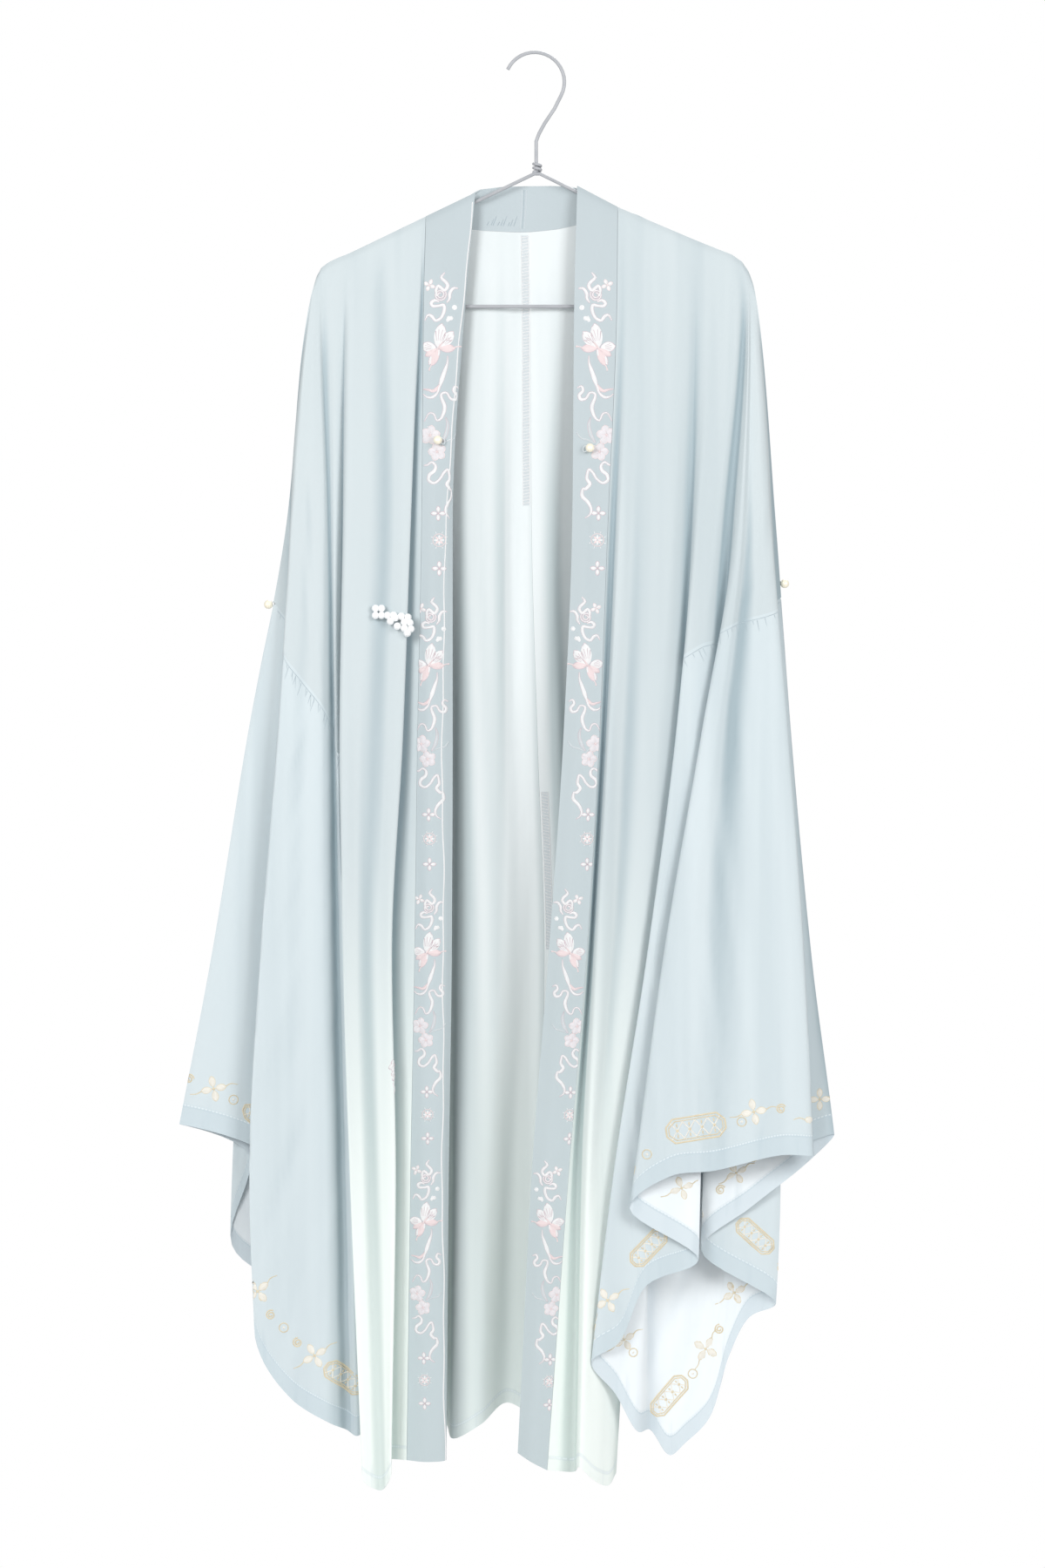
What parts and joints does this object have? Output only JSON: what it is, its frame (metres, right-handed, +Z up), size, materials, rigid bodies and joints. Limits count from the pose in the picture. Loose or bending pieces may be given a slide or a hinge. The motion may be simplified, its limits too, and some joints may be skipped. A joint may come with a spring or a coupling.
{
  "type": "hanfu robe on a hanger",
  "caption": "Open-front hanfu robe with wide sleeves and an embroidered collar band, hanging in soft folds on a wire hanger.",
  "frame": {"origin": "inside top of the hanger hook's bend, where a rail holds it", "axes": "+Z up, the robe's open front faces -Y, and the wearer's right side lies at -X"},
  "size_m": [0.6621, 0.0931, 1.4496],
  "materials": {
    "robe_cloth": "smooth pale blue chiffon with a soft sheen, fading to pale mint at the hem",
    "collar_band_cloth": "pale blue satin with embroidery",
    "pearl": "imitation pearl",
    "hanger_wire": "bright drawn wire"
  },
  "bodies": {
    "root": {"back_left": "robe_cloth", "back_right": "robe_cloth", "front_left": "robe_cloth", "front_right": "robe_cloth", "sleeve_left": "robe_cloth", "sleeve_right": "robe_cloth", "collar_left": "collar_band_cloth", "collar_neck": "collar_band_cloth", "collar_right": "collar_band_cloth", "band_button_left": "pearl", "band_button_right": "pearl", "bead_cluster": "pearl", "sleeve_button_left": "pearl", "sleeve_button_right": "pearl", "hanger_frame": "hanger_wire", "hanger_hook": "hanger_wire"}
  },
  "joints": []
}
